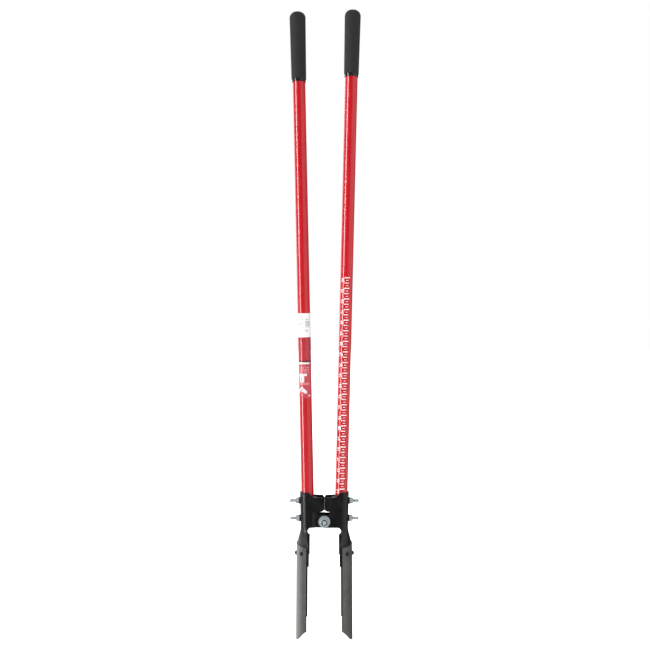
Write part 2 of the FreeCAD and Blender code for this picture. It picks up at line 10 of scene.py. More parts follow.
import bpy
from mathutils import Matrix, Vector

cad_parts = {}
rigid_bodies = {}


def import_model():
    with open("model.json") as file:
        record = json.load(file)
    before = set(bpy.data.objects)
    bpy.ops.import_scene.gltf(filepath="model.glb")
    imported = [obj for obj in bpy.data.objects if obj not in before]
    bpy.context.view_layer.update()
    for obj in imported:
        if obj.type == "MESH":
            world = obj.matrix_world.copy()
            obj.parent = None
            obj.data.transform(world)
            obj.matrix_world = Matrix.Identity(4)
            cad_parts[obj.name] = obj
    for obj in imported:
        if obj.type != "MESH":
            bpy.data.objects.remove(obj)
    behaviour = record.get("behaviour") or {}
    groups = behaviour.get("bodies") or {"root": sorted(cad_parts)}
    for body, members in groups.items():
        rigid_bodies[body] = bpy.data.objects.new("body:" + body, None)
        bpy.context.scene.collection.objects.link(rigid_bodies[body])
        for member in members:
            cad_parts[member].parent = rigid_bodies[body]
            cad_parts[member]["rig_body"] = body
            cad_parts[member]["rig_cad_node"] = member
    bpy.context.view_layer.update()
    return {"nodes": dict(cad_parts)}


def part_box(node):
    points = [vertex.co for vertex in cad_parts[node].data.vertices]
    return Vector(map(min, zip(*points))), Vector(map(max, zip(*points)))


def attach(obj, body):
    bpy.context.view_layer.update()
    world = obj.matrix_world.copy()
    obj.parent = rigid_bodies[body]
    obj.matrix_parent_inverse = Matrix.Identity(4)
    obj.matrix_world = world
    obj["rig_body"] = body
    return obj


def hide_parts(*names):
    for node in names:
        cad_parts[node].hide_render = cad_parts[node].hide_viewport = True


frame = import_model()
nodes = frame["nodes"]

MM = 0.001
SIDES = ("left", "right")
X_AXIS = Vector((1, 0, 0))
Y_AXIS = Vector((0, 1, 0))


# ---------------------------------------------------------------- where the pieces are

def middle(node):
    """The middle of a node's box, which lies on the axis of any round piece."""
    low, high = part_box(node)
    return (low + high) / 2


def line_through(start_node, end_node):
    """A frame at the middle of start_node, with +Z towards end_node. The two are on one axis."""
    start = middle(start_node)
    forward = (middle(end_node) - start).normalized()
    side = Y_AXIS if abs(forward.y) < 0.9 else X_AXIS
    across = side.cross(forward).normalized()
    turn = Matrix((across, forward.cross(across), forward)).transposed()
    return Matrix.Translation(start) @ turn.to_4x4()


def handle_line(side):
    """+Z up the handle, +X to the right, +Y to the back. The origin is at the core plug's middle."""
    return line_through(side + "_core_plug", side + "_grip_collar")


def ends_along(line, node):
    """How far along the line's +Z the node begins and ends."""
    back = line.inverted()
    reach = [(back @ corner.co).z for corner in nodes[node].data.vertices]
    return min(reach), max(reach)


def radius_about(line, node):
    back = line.inverted()
    return max((back @ corner.co).xy.length for corner in nodes[node].data.vertices)


# ---------------------------------------------------------------- finishes

class Value:
    """One output in a node tree. Sums with it add Math nodes."""

    def __init__(self, finish, socket):
        self.finish = finish
        self.socket = socket

    def sum(self, operation, first, second=0.0):
        return self.finish.node("Math", {0: first, 1: second}, operation=operation)

    def __add__(self, other):
        return self.sum("ADD", self, other)

    def __sub__(self, other):
        return self.sum("SUBTRACT", self, other)

    def __rsub__(self, other):
        return self.sum("SUBTRACT", other, self)

    def __mul__(self, other):
        return self.sum("MULTIPLY", self, other)

    def __truediv__(self, other):
        return self.sum("DIVIDE", self, other)

    def __neg__(self):
        return self.sum("MULTIPLY", self, -1.0)

    def __abs__(self):
        return self.sum("ABSOLUTE", self)

    def __pow__(self, other):
        return self.sum("POWER", self, other)

    __radd__ = __add__
    __rmul__ = __mul__

    def low(self, other):
        return self.sum("MINIMUM", self, other)

    def high(self, other):
        return self.sum("MAXIMUM", self, other)

    def over(self, other):
        return self.sum("GREATER_THAN", self, other)

    def steps(self, width):
        """The number of whole widths in it."""
        return self.sum("FLOOR", self / width)

    def spread(self, start, end, low=0.0, high=1.0):
        """Goes smoothly from low to high as it passes from start to end."""
        return self.finish.node("MapRange", {0: self, 1: start, 2: end, 3: low, 4: high},
                                interpolation_type="SMOOTHSTEP")

    def within(self, start, end, soft):
        """1 from start to end and 0 outside, with edges soft wide."""
        return self.spread(start - soft, start) * self.spread(end, end + soft, 1.0, 0.0)

    def parts(self):
        split = self.finish.node("SeparateXYZ", {0: self})
        return [Value(self.finish, output) for output in split.socket.node.outputs]


class Nodes:
    """A node tree being filled."""

    def __init__(self, tree):
        self.tree = tree

    def node(self, kind, inputs=None, output=0, **settings):
        """Add one node. inputs, by name or number, are numbers, colours, or a Value to join to."""
        made = self.tree.nodes.new("ShaderNode" + kind)
        for key, value in settings.items():
            setattr(made, key, value)
        for key, value in (inputs or {}).items():
            if isinstance(value, Value):
                self.tree.links.new(value.socket, made.inputs[key])
            else:
                made.inputs[key].default_value = value
        return Value(self, made.outputs[output])

    def mixed(self, share, first, second):
        """first where share is 0 and second where it is 1."""
        return self.node("Mix", {0: share, 6: first, 7: second}, output=2, data_type="RGBA")


class Finish(Nodes):
    """A finish being mixed: its material, its node tree and its Principled shader."""

    def __init__(self, name, **settings):
        self.material = bpy.data.materials.new(name)
        self.material.use_nodes = True
        super().__init__(self.material.node_tree)
        self.shader = self.tree.nodes["Principled BSDF"]
        for key, value in settings.items():
            self.shader.inputs[key.replace("_", " ").title().replace("Ior", "IOR")].default_value = value

    def use(self, **values):
        """Join values to the shader's sockets."""
        for key, value in values.items():
            self.tree.links.new(value.socket, self.shader.inputs[key.replace("_", " ").title()])
        return self.material

    def place(self, line=None):
        """Object coordinates, or places measured along a line's own axes."""
        here = self.node("TexCoord", output=3)
        if line is None:
            return here
        return self.node("Mapping", {0: here, 1: line.to_translation(), 2: line.to_euler()},
                         vector_type="TEXTURE")

    def stretch(self, place, x, y, z):
        return self.node("VectorMath", {0: place, 1: (x, y, z)}, operation="MULTIPLY")

    def noise(self, place, size, detail=2.0, roughness=0.5):
        """Soft random patches about size wide."""
        return self.node("TexNoise", {"Vector": place, "Scale": 1.0 / size, "Detail": detail,
                                      "Roughness": roughness})

    def cells(self, place, size):
        """Distance from the middle of random cells about size wide."""
        return self.node("TexVoronoi", {"Vector": place, "Scale": 1.0 / size})

    def chance(self, *numbers):
        """One random number for each set of whole numbers."""
        joined = self.node("CombineXYZ", dict(enumerate(numbers)))
        return self.node("TexWhiteNoise", {"Vector": joined}, noise_dimensions="3D")

    def bumps(self, height, depth, strength=1.0, rounding=None):
        """Normals of a surface that stands up by height times depth, with its edges rounded if asked."""
        inputs = {"Height": height, "Distance": depth, "Strength": strength}
        if rounding:
            inputs["Normal"] = self.node("Bevel", {"Radius": rounding}, samples=6)
        return self.node("Bump", inputs)


def red_fibreglass(side):
    """Glossy red tube, with the glass showing as faint streaks along it and a few dull scuffs."""
    finish = Finish(side + "_red_fibreglass", coat_weight=1.0, coat_roughness=0.06, specular_ior_level=0.5)
    place = finish.place(handle_line(side))
    streaks = finish.noise(finish.stretch(place, 1.0, 1.0, 0.012), 0.0009, 3.0, 0.65)
    cloud = finish.noise(finish.stretch(place, 1.0, 1.0, 0.2), 0.02, 2.0)
    shade = streaks * 0.7 + cloud * 0.3
    deep = finish.mixed(shade.spread(0.3, 0.7), (0.42, 0.0008, 0.006, 1), (0.54, 0.0018, 0.012, 1))
    dust = finish.cells(place, 0.011).spread(0.018, 0.03, 1.0, 0.0) * finish.noise(place, 0.05).over(0.56)
    colour = finish.mixed(dust * 0.5, deep, (0.7, 0.25, 0.26, 1))
    scuffs = finish.noise(finish.stretch(place, 1.0, 1.0, 0.35), 0.006, 4.0, 0.7)
    roughness = scuffs.spread(0.42, 0.72, 0.3, 0.42) + dust * 0.2
    height = streaks * 0.6 + finish.noise(place, 0.0035, 2.0) * 0.4
    return finish.use(base_color=colour, roughness=roughness, normal=finish.bumps(height, 0.00004, 0.25))


def charcoal_foam():
    """Dense foam skin: fine closed cells, faint mottling, and a slightly rubbed look on the high spots."""
    finish = Finish("charcoal_foam", specular_ior_level=0.3, sheen_weight=0.01, sheen_roughness=0.6)
    place = finish.place()
    pores = finish.cells(place, 0.0011)
    fine = finish.noise(place, 0.0006, 3.0, 0.6)
    mottle = finish.noise(place, 0.012, 3.0, 0.6)
    skin = pores.spread(0.05, 0.55) * 0.6 + fine * 0.4
    tone = (skin * 0.65 + mottle * 0.35).spread(0.2, 0.8)
    colour = finish.mixed(tone, (0.008, 0.0079, 0.0083, 1), (0.021, 0.0207, 0.0216, 1))
    roughness = skin.spread(0.2, 0.8, 0.9, 0.68)
    height = skin * 0.7 + mottle * 0.3
    return finish.use(base_color=colour, roughness=roughness, normal=finish.bumps(height, 0.00035, 0.7))


def collar_plastic():
    """Glossy black moulded band with fine turning lines and thumb smears."""
    finish = Finish("collar_plastic", specular_ior_level=0.5)
    place = finish.place()
    rings = finish.noise(finish.stretch(place, 0.05, 0.05, 1.0), 0.0005, 2.0)
    smears = finish.noise(place, 0.007, 3.0)
    colour = finish.mixed(rings, (0.008, 0.008, 0.009, 1), (0.02, 0.02, 0.022, 1))
    return finish.use(base_color=colour, roughness=smears.spread(0.3, 0.7, 0.08, 0.18),
                      normal=finish.bumps(rings, 0.00006, 0.5, rounding=0.0006))


def black_powder_coat():
    """Black powder coat with its orange peel, small lighter pits and rounded edges."""
    finish = Finish("black_powder_coat", specular_ior_level=0.5)
    place = finish.place()
    peel = finish.noise(place, 0.0016, 2.0, 0.45)
    cloud = finish.noise(place, 0.02, 3.0, 0.6)
    grain = finish.noise(place, 0.0005, 2.0)
    pits = finish.cells(place, 0.006).spread(0.03, 0.07, 1.0, 0.0)
    tone = cloud * 0.6 + grain * 0.4
    paint = finish.mixed(tone.spread(0.3, 0.7), (0.0025, 0.0025, 0.0028, 1), (0.0065, 0.0062, 0.007, 1))
    colour = finish.mixed(pits * 0.6, paint, (0.035, 0.034, 0.034, 1))
    roughness = (peel * 0.5 + cloud * 0.5).spread(0.3, 0.7, 0.34, 0.52)
    height = peel * 0.8 - pits * 0.4 + grain * 0.15
    return finish.use(base_color=colour, roughness=roughness,
                      normal=finish.bumps(height, 0.00022, 0.55, rounding=0.0007))


INWARDS = {"left": 1.0, "right": -1.0}  # which way along X each half's blade faces inwards
POINT_HALF_WIDTH = 0.036
POINT_RADIUS = 0.049
SHOULDER_HEIGHT = 0.0369


def ground_edge(finish, side):
    """1 along the blade's sharpened lower edge and 0 above it."""
    half_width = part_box(side + "_blade")[1].y
    x, y, z = finish.place().parts()
    across = abs(y)
    arc_top = POINT_RADIUS - math.sqrt(POINT_RADIUS ** 2 - POINT_HALF_WIDTH ** 2)
    round_point = POINT_RADIUS - (POINT_RADIUS ** 2 - across.low(POINT_HALF_WIDTH) ** 2.0) ** 0.5
    slope = (SHOULDER_HEIGHT - arc_top) / (half_width - POINT_HALF_WIDTH)
    corner = (across - POINT_HALF_WIDTH).high(0.0) * slope
    above = z - round_point - corner
    ragged = finish.noise(finish.place(), 0.004, 3.0) * 0.002
    return (above + ragged).spread(0.0035, 0.0065, 1.0, 0.0)


def blade_steel(side):
    """Dark lacquered steel with rolling lines, blotches, scratches and a ground lower edge. Painted shade
    makes the inward-facing surfaces near black and rougher.
    """
    finish = Finish(side + "_blade_steel", specular_ior_level=0.5, coat_weight=0.3, coat_roughness=0.3)
    place = finish.place()
    rolled = finish.noise(finish.stretch(place, 1.0, 1.0, 0.03), 0.0012, 3.0, 0.6)
    blotches = finish.noise(place, 0.022, 4.0, 0.6)
    speckle = finish.noise(place, 0.0014, 3.0, 0.6)
    scratches = finish.noise(finish.stretch(place, 0.25, 0.25, 6.0), 0.003, 2.0, 0.7).spread(0.62, 0.72)
    tone = (rolled * 0.3 + blotches * 0.45 + speckle * 0.25).spread(0.32, 0.68)
    lacquer = finish.mixed(tone, (0.055, 0.055, 0.05, 1), (0.10, 0.10, 0.092, 1))
    worn = finish.mixed(scratches * 0.35, lacquer, (0.26, 0.26, 0.25, 1))
    ground = ground_edge(finish, side)
    inner = finish.node("TexCoord", output=1).parts()[0] * INWARDS[side]
    outside = finish.mixed(ground * 0.35, worn, (0.20, 0.20, 0.19, 1))
    # Painted shade: the surfaces that face into the blade's hollow are coloured near black, made rougher and
    # not metallic.
    inside = inner.spread(0.2, 0.4)
    colour = finish.mixed(inside, outside, (0.003, 0.003, 0.003, 1))
    roughness = (blotches * 0.6 + speckle * 0.4).spread(0.3, 0.7, 0.34, 0.48) + inside * 0.4
    height = rolled * 0.35 + speckle * 0.45 + scratches * -0.3
    return finish.use(base_color=colour, roughness=roughness, metallic=(0.25 + ground * 0.3) * (1.0 - inside),
                      normal=finish.bumps(height, 0.00014, 0.5, rounding=0.0005))


def dark_rivet():
    """Black coated rivets, rubbed to steel on the crown of the head."""
    finish = Finish("dark_rivet", specular_ior_level=0.45)
    place = finish.place()
    grain = finish.noise(place, 0.0009, 3.0, 0.6)
    rubbed = finish.noise(place, 0.003, 3.0, 0.7).spread(0.58, 0.74)
    colour = finish.mixed(rubbed * 0.4, (0.009, 0.009, 0.01, 1), (0.09, 0.09, 0.085, 1))
    return finish.use(base_color=colour, roughness=grain.spread(0.3, 0.7, 0.32, 0.5), metallic=rubbed * 0.6,
                      normal=finish.bumps(grain, 0.0002, 0.5, rounding=0.0004))


def bright_zinc():
    """Bluish zinc plating: cloudy, with fine drawn lines and duller patches."""
    finish = Finish("bright_zinc", specular_ior_level=0.5)
    place = finish.place()
    cloud = finish.noise(place, 0.004, 4.0, 0.65)
    grain = finish.noise(place, 0.0005, 3.0, 0.6)
    dull = finish.noise(place, 0.002, 3.0).spread(0.55, 0.75)
    bright = finish.mixed(cloud.spread(0.3, 0.7), (0.40, 0.45, 0.47, 1), (0.58, 0.63, 0.66, 1))
    colour = finish.mixed(dull * 0.5, bright, (0.36, 0.37, 0.37, 1))
    return finish.use(base_color=colour, roughness=(cloud * 0.5 + grain * 0.5).spread(0.3, 0.7, 0.44, 0.6),
                      metallic=0.55 - dull * 0.25, normal=finish.bumps(grain, 0.00009, 0.5, rounding=0.0003))


def grimy_nylon():
    """The lock nut's insert, coloured very dark."""
    finish = Finish("grimy_nylon", specular_ior_level=0.45, subsurface_weight=0.1, subsurface_scale=0.002)
    place = finish.place()
    mottle = finish.noise(place, 0.0016, 3.0)
    colour = finish.mixed(mottle, (0.012, 0.014, 0.018, 1), (0.03, 0.034, 0.04, 1))
    return finish.use(base_color=colour, roughness=mottle.spread(0.3, 0.7, 0.38, 0.55),
                      normal=finish.bumps(mottle, 0.0001, 0.4))


def turned_wood(side):
    """Pale wood plug with rings round the handle's axis and pores along it."""
    finish = Finish(side + "_turned_wood", specular_ior_level=0.25)
    place = finish.place(handle_line(side))
    wander = finish.noise(finish.stretch(place, 1.0, 1.0, 0.1), 0.02, 2.0) * 0.004
    x, y, z = place.parts()
    ring = ((x + 0.02) ** 2.0 + y ** 2.0) ** 0.5 + wander
    late = abs(finish.node("Math", {0: ring * 2100.0}, operation="SINE"))
    pores = finish.noise(finish.stretch(place, 1.0, 1.0, 0.04), 0.0006, 2.0).spread(0.58, 0.7)
    wood = finish.mixed(late, (0.62, 0.43, 0.24, 1), (0.42, 0.25, 0.12, 1))
    colour = finish.mixed(pores * 0.5, wood, (0.2, 0.11, 0.05, 1))
    return finish.use(base_color=colour, roughness=late.spread(0.0, 1.0, 0.62, 0.8),
                      normal=finish.bumps(late * 0.5 - pores, 0.0001, 0.5))


# ---------------------------------------------------------------- printed labels

def label_rulers(finish, node):
    """How far round the label from its front, and how far up from its lower edge, in millimetres."""
    line = handle_line("left")
    start = ends_along(line, node)[0]
    x, y, z = finish.place(line).parts()
    turn = finish.node("Math", {0: x, 1: -y}, operation="ARCTAN2")
    return turn * (radius_about(line, node) / MM), (z - start) * (1.0 / MM)


def block(round_it, up, left, right, low, high, soft=0.25):
    """1 inside a printed rectangle."""
    return round_it.within(left, right, soft) * up.within(low, high, soft)


def small_print(finish, round_it, up, pitch, letter):
    """Rows of dashes that stand for lines of small print."""
    row = up.steps(pitch)
    inside = (up / pitch - row).within(0.25, 0.7, 0.08)
    shift = finish.chance(row, 7.0) * 5.0
    dash = (round_it + shift).steps(letter)
    return inside * finish.chance(row, dash, 3.0).over(0.35)


PRINT_START = 2.4  # millimetres from the label's lower edge to where its print is measured from


def red_product_label():
    """Dark red film, plain at the top, with two rules, a block of shapes and a chevron below."""
    finish = Finish("red_product_label", specular_ior_level=0.5, coat_weight=0.5, coat_roughness=0.08)
    round_it, up = label_rulers(finish, "product_label")
    up = up - PRINT_START
    place = finish.place(handle_line("left"))
    fade = finish.noise(finish.stretch(place, 1.0, 1.0, 0.25), 0.014, 3.0)
    ink = finish.noise(place, 0.0004, 2.0)
    film = finish.mixed(fade.spread(0.3, 0.7), (0.36, 0.02, 0.035, 1), (0.46, 0.032, 0.05, 1))
    deep = finish.mixed(up.within(0.0, 72.0, 6.0) * 0.55, film, (0.52, 0.075, 0.10, 1))
    black_rule = block(round_it, up, -23.0, 20.0, 84.6, 87.0)
    white_rule = block(round_it, up, -23.0, 13.0, 78.8, 83.4)
    pink_words = block(round_it, up, -18.0, 11.0, 59.0, 75.0) * small_print(finish, round_it, up, 5.2, 2.1)
    shapes = block(round_it, up, -17.0, 5.0, 50.5, 56.0).high(block(round_it, up, -14.0, -2.0, 35.5, 51.0))
    cut_out = block(round_it, up, -9.8, -7.4, 38.0, 47.5)
    shapes = shapes * (1.0 - cut_out)
    fold = up - 21.0 + abs(round_it + 8.0) * 0.9
    chevron = fold.within(-6.0, 4.0, 0.5) * round_it.within(-19.0, 4.0, 0.4) * up.within(9.0, 31.5, 0.4)
    stripe = (up - 21.0 - round_it * 1.2 - 7.0).within(-1.6, 1.6, 0.4)
    dot = block(round_it, up, 8.0, 13.0, 1.8, 4.6)
    white = white_rule.high(shapes).high(chevron * (1.0 - stripe)).high(dot)
    lines = block(round_it, up, -16.0, 12.0, 29.5, 34.0) * up.spread(0.0, 1.0)
    tinted = finish.mixed((pink_words.high(lines * 0.7)) * 0.8, deep, (0.7, 0.33, 0.36, 1))
    printed = finish.mixed(white * 0.88, tinted, (0.78, 0.75, 0.75, 1))
    colour = finish.mixed(black_rule, printed, (0.012, 0.01, 0.01, 1))
    roughness = (ink * 0.5 + fade * 0.5).spread(0.3, 0.7, 0.2, 0.34)
    return finish.use(base_color=colour, roughness=roughness, normal=finish.bumps(fade, 0.00008, 0.5))


def white_stock_label():
    """White film with rows of small grey print, one grey panel and a strip of bars."""
    finish = Finish("white_stock_label", specular_ior_level=0.4, coat_weight=0.2, coat_roughness=0.15)
    round_it, up = label_rulers(finish, "barcode_label")
    place = finish.place(handle_line("left"))
    fade = finish.noise(place, 0.012, 3.0)
    ink = finish.noise(place, 0.0004, 2.0)
    film = finish.mixed(fade, (0.80, 0.80, 0.81, 1), (0.88, 0.88, 0.88, 1))
    words = block(round_it, up, -17.0, -2.0, 6.0, 54.0) * small_print(finish, round_it, up, 4.4, 1.5)
    bars = block(round_it, up, 3.0, 17.0, 22.0, 46.0) * finish.chance(up.steps(0.8), 2.0).over(0.52)
    smudge = block(round_it, up, 2.0, 9.0, 12.0, 19.0) * small_print(finish, round_it, up, 2.4, 1.0)
    back_words = block(abs(round_it), up, 24.0, 42.0, 8.0, 52.0) * small_print(finish, round_it, up, 3.0, 1.2)
    dark = words.high(back_words) * 0.55
    dark = dark.high(bars * 0.6).high(smudge * 0.8)
    colour = finish.mixed(dark, film, (0.08, 0.08, 0.09, 1))
    return finish.use(base_color=colour, roughness=(ink * 0.5 + fade * 0.5).spread(0.3, 0.7, 0.3, 0.45),
                      normal=finish.bumps(fade, 0.00006, 0.5))


def white_scale_ink():
    """White screen print, thin in places so that some red shows through."""
    finish = Finish("white_scale_ink", specular_ior_level=0.4)
    place = finish.place()
    thin = finish.noise(place, 0.0012, 3.0, 0.65)
    colour = finish.mixed(thin.spread(0.35, 0.62), (0.88, 0.66, 0.68, 1), (0.95, 0.92, 0.92, 1))
    return finish.use(base_color=colour, roughness=thin.spread(0.3, 0.7, 0.34, 0.5),
                      normal=finish.bumps(thin, 0.00004, 0.4))


# ---------------------------------------------------------------- making pieces

def select_only(piece):
    bpy.ops.object.select_all(action="DESELECT")
    piece.select_set(True)
    bpy.context.view_layer.objects.active = piece


def start(add, name, **size):
    """Add a primitive with nothing else selected, and name it."""
    bpy.ops.object.select_all(action="DESELECT")
    add(**size)
    piece = bpy.context.object
    piece.name = name
    return piece


def shape(piece, wanted=None, kind="FACE"):
    """Go into edit mode with only the wanted faces, edges or corners selected."""
    select_only(piece)
    bpy.ops.object.mode_set(mode="EDIT")
    bpy.ops.mesh.select_mode(type=kind)
    bpy.ops.mesh.select_all(action="DESELECT")
    bpy.ops.object.mode_set(mode="OBJECT")
    mesh = piece.data
    items = {"FACE": mesh.polygons, "EDGE": mesh.edges, "VERT": mesh.vertices}[kind]
    for item in items:
        item.select = wanted is None or bool(wanted(mesh, item))
    bpy.ops.object.mode_set(mode="EDIT")


def leave():
    bpy.ops.object.mode_set(mode="OBJECT")


def modify(piece, kind, **settings):
    select_only(piece)
    modifier = piece.modifiers.new(kind.title(), kind)
    for key, value in settings.items():
        setattr(modifier, key, value)
    bpy.ops.object.modifier_apply(modifier=modifier.name)


def settle(piece, line):
    """Put the finished piece on its line, with its place in its mesh."""
    piece.matrix_world = line
    select_only(piece)
    bpy.ops.object.transform_apply(location=True, rotation=True, scale=True)


def tidy_faces(piece, angle=30.0):
    shape(piece)
    bpy.ops.mesh.remove_doubles(threshold=0.000002)
    bpy.ops.mesh.normals_make_consistent(inside=False)
    leave()
    select_only(piece)
    bpy.ops.object.shade_smooth_by_angle(angle=math.radians(angle))


def dress(piece, material):
    piece.data.materials.clear()
    piece.data.materials.append(material)


def hand_over(piece, body, material, slot, *stands_for):
    dress(piece, material)
    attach(piece, body)
    if stands_for:
        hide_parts(*stands_for)


# ---------------------------------------------------------------- foam grips

def foam_grip(side, material):
    """A tapered foam sleeve with a domed end, a softened foot and a bore for the tube."""
    node = side + "_grip"
    line = handle_line(side)
    foot, top = ends_along(line, node)
    top_radius = radius_about(line, node)
    foot_radius = top_radius - 1.5 * MM
    bore = radius_about(line, side + "_handle_tube") + 0.2 * MM
    dome = 14.5 * MM
    wall = 7.5 * MM
    length = top - foot
    piece = start(bpy.ops.mesh.primitive_cylinder_add, side + "_foam_grip", vertices=96, radius=foot_radius,
                  depth=length, location=(0, 0, (foot + top) / 2))
    bpy.ops.object.transform_apply(location=True)
    middle_height = (foot + top) / 2

    shape(piece, lambda mesh, face: face.normal.z > 0.9)
    swell = (top_radius + 1.5 * MM * dome / length) / foot_radius
    bpy.ops.transform.resize(value=(swell, swell, 1.0))
    leave()
    shape(piece, lambda mesh, edge: all(mesh.vertices[end].co.z > middle_height for end in edge.vertices),
          "EDGE")
    bpy.ops.mesh.bevel(offset=dome, segments=14, profile=0.5, affect="EDGES", clamp_overlap=False)
    leave()
    shape(piece, lambda mesh, face: face.normal.z < -0.9)
    bpy.ops.mesh.inset(thickness=foot_radius - bore)
    bpy.ops.mesh.extrude_region_move(TRANSFORM_OT_translate={"value": (0, 0, length - wall)})
    leave()
    rim = foot + 0.01 * MM
    shape(piece, lambda mesh, edge: all(mesh.vertices[end].co.z < rim for end in edge.vertices)
          and all(mesh.vertices[end].co.xy.length > foot_radius - 0.1 * MM for end in edge.vertices), "EDGE")
    bpy.ops.mesh.bevel(offset=1.0 * MM, segments=4, profile=0.5, affect="EDGES")
    leave()
    for share in (0.06, 0.13, 0.2, 0.3, 0.4, 0.5, 0.6, 0.7, 0.8):
        shape(piece)
        bpy.ops.mesh.bisect(plane_co=(0, 0, foot + length * share), plane_no=(0, 0, 1))
        leave()
    tidy_faces(piece, 40.0)
    settle(piece, line)
    hand_over(piece, side + "_half", material, "grip", node)


# ---------------------------------------------------------------- threaded bolts

def thread(name, radius, pitch, low, high):
    """A threaded rod from low to high on Z, cut square at the root end and pointed at the other."""
    depth = 0.6 * pitch
    root = radius - depth
    piece = start(bpy.ops.mesh.primitive_circle_add, name, vertices=4, radius=pitch / 2,
                  location=(root, 0, low - pitch), rotation=(math.pi / 2, 0, 0))
    bpy.ops.object.transform_apply(location=True, rotation=True)
    shape(piece, lambda mesh, corner: corner.co.x < root - pitch / 4, "VERT")
    bpy.ops.mesh.delete(type="VERT")
    leave()
    shape(piece, lambda mesh, corner: corner.co.x > root + pitch / 4, "VERT")
    bpy.ops.transform.translate(value=(depth - pitch / 2, 0, 0))
    leave()
    shape(piece, lambda mesh, corner: corner.co.x > root + pitch / 4, "VERT")
    bpy.ops.mesh.bevel(offset=pitch * 0.08, segments=1, affect="VERTICES")
    leave()
    turns = math.ceil((high - low) / pitch) + 2
    modify(piece, "SCREW", axis="Z", angle=math.tau, screw_offset=pitch, iterations=turns, steps=28,
           render_steps=28, use_merge_vertices=True, merge_threshold=0.000001, use_normal_calculate=True)
    for height, up in ((low, True), (high, False)):
        shape(piece)
        bpy.ops.mesh.bisect(plane_co=(0, 0, height), plane_no=(0, 0, 1), use_fill=True,
                            clear_inner=up, clear_outer=not up)
        leave()
    shape(piece, lambda mesh, face: face.center.z > high - 0.01 * MM and face.normal.z > 0.9)
    bpy.ops.mesh.inset(thickness=pitch * 0.35)
    bpy.ops.transform.translate(value=(0, 0, pitch * 0.25))
    leave()
    tidy_faces(piece, 25.0)
    return piece


def threaded_bolt(node, nut, head_washer, size, body, material):
    """The plain bolt's head and the shank inside the joint, with a real thread from the nut to the tip."""
    radius, pitch = size
    line = line_through(head_washer, nut)
    tip = ends_along(line, node)[1]
    nut_start = ends_along(line, nut)[0]
    select_only(nodes[node])
    bpy.ops.object.duplicate()
    head = bpy.context.object
    head.name = node + "_head"
    head.parent = None
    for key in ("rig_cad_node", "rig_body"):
        del head[key]
    head.data.transform(line.inverted())
    shape(head)
    bpy.ops.mesh.remove_doubles(threshold=0.000005)
    bpy.ops.mesh.bisect(plane_co=(0, 0, nut_start), plane_no=(0, 0, 1), use_fill=True, clear_outer=True)
    leave()
    end = tip - pitch * 0.25
    rod = thread(node + "_threaded", radius, pitch, nut_start - 0.5 * MM, end)
    bpy.ops.object.select_all(action="DESELECT")
    head.select_set(True)
    rod.select_set(True)
    bpy.context.view_layer.objects.active = rod
    bpy.ops.object.join()
    bpy.ops.object.shade_smooth_by_angle(angle=math.radians(25.0))
    settle(rod, line)
    hand_over(rod, body, material, "zinc", node)


def nylon_ring(material):
    """The lock nut's insert: a flat ring with rounded lips in the mouth of the nut."""
    line = line_through("pivot_rear_washer", "pivot_lock_nut")
    high = ends_along(line, "pivot_lock_nut")[1]
    outer = 7.3 * MM
    inner = 4.9 * MM
    piece = start(bpy.ops.mesh.primitive_cylinder_add, "nylon_ring", vertices=48, radius=outer,
                  depth=0.9 * MM, location=(0, 0, high + 0.05 * MM))
    bpy.ops.object.transform_apply(location=True)
    shape(piece, lambda mesh, face: abs(face.normal.z) > 0.9)
    bpy.ops.mesh.inset(thickness=outer - inner)
    bpy.ops.mesh.bridge_edge_loops()
    leave()
    shape(piece, lambda mesh, edge: all(mesh.vertices[end].co.z > high for end in edge.vertices)
          and abs(mesh.vertices[edge.vertices[0]].co.xy.length
                  - mesh.vertices[edge.vertices[1]].co.xy.length) < 0.01 * MM, "EDGE")
    bpy.ops.mesh.bevel(offset=0.3 * MM, segments=3, profile=0.5, affect="EDGES")
    leave()
    tidy_faces(piece, 40.0)
    settle(piece, line)
    hand_over(piece, "left_half", material, "zinc")


# ---------------------------------------------------------------- depth scale

INCH = 25.4 * MM
FIRST_INCH = 14
LAST_INCH = 34
FIRST_MARK_HEIGHT = 364.9 * MM


def tick(height, left, right, thick):
    """One printed tick in front of the tube, flat for now."""
    bpy.ops.mesh.primitive_plane_add(size=1.0, location=((left + right) / 2, 0, height),
                                     rotation=(math.pi / 2, 0, 0))
    mark = bpy.context.object
    mark.scale = (right - left, thick, 1.0)
    bpy.ops.object.transform_apply(location=True, rotation=True, scale=True)
    return mark


def numeral(text, height):
    """A number that reads up the tube, left of its tick."""
    bpy.ops.object.text_add()
    word = bpy.context.object
    word.data.body = text
    word.data.size = 9.6 * MM
    word.data.align_x = "CENTER"
    word.data.align_y = "CENTER"
    word.data.offset = 0.25 * MM
    bpy.ops.object.convert(target="MESH")
    lie = Matrix.Rotation(math.pi / 2, 4, "X")
    up_the_tube = Matrix.Rotation(-math.pi / 2, 4, "Y")
    word.data.transform(Matrix.Translation((-8.1 * MM, 0, height)) @ up_the_tube @ lie)
    return word


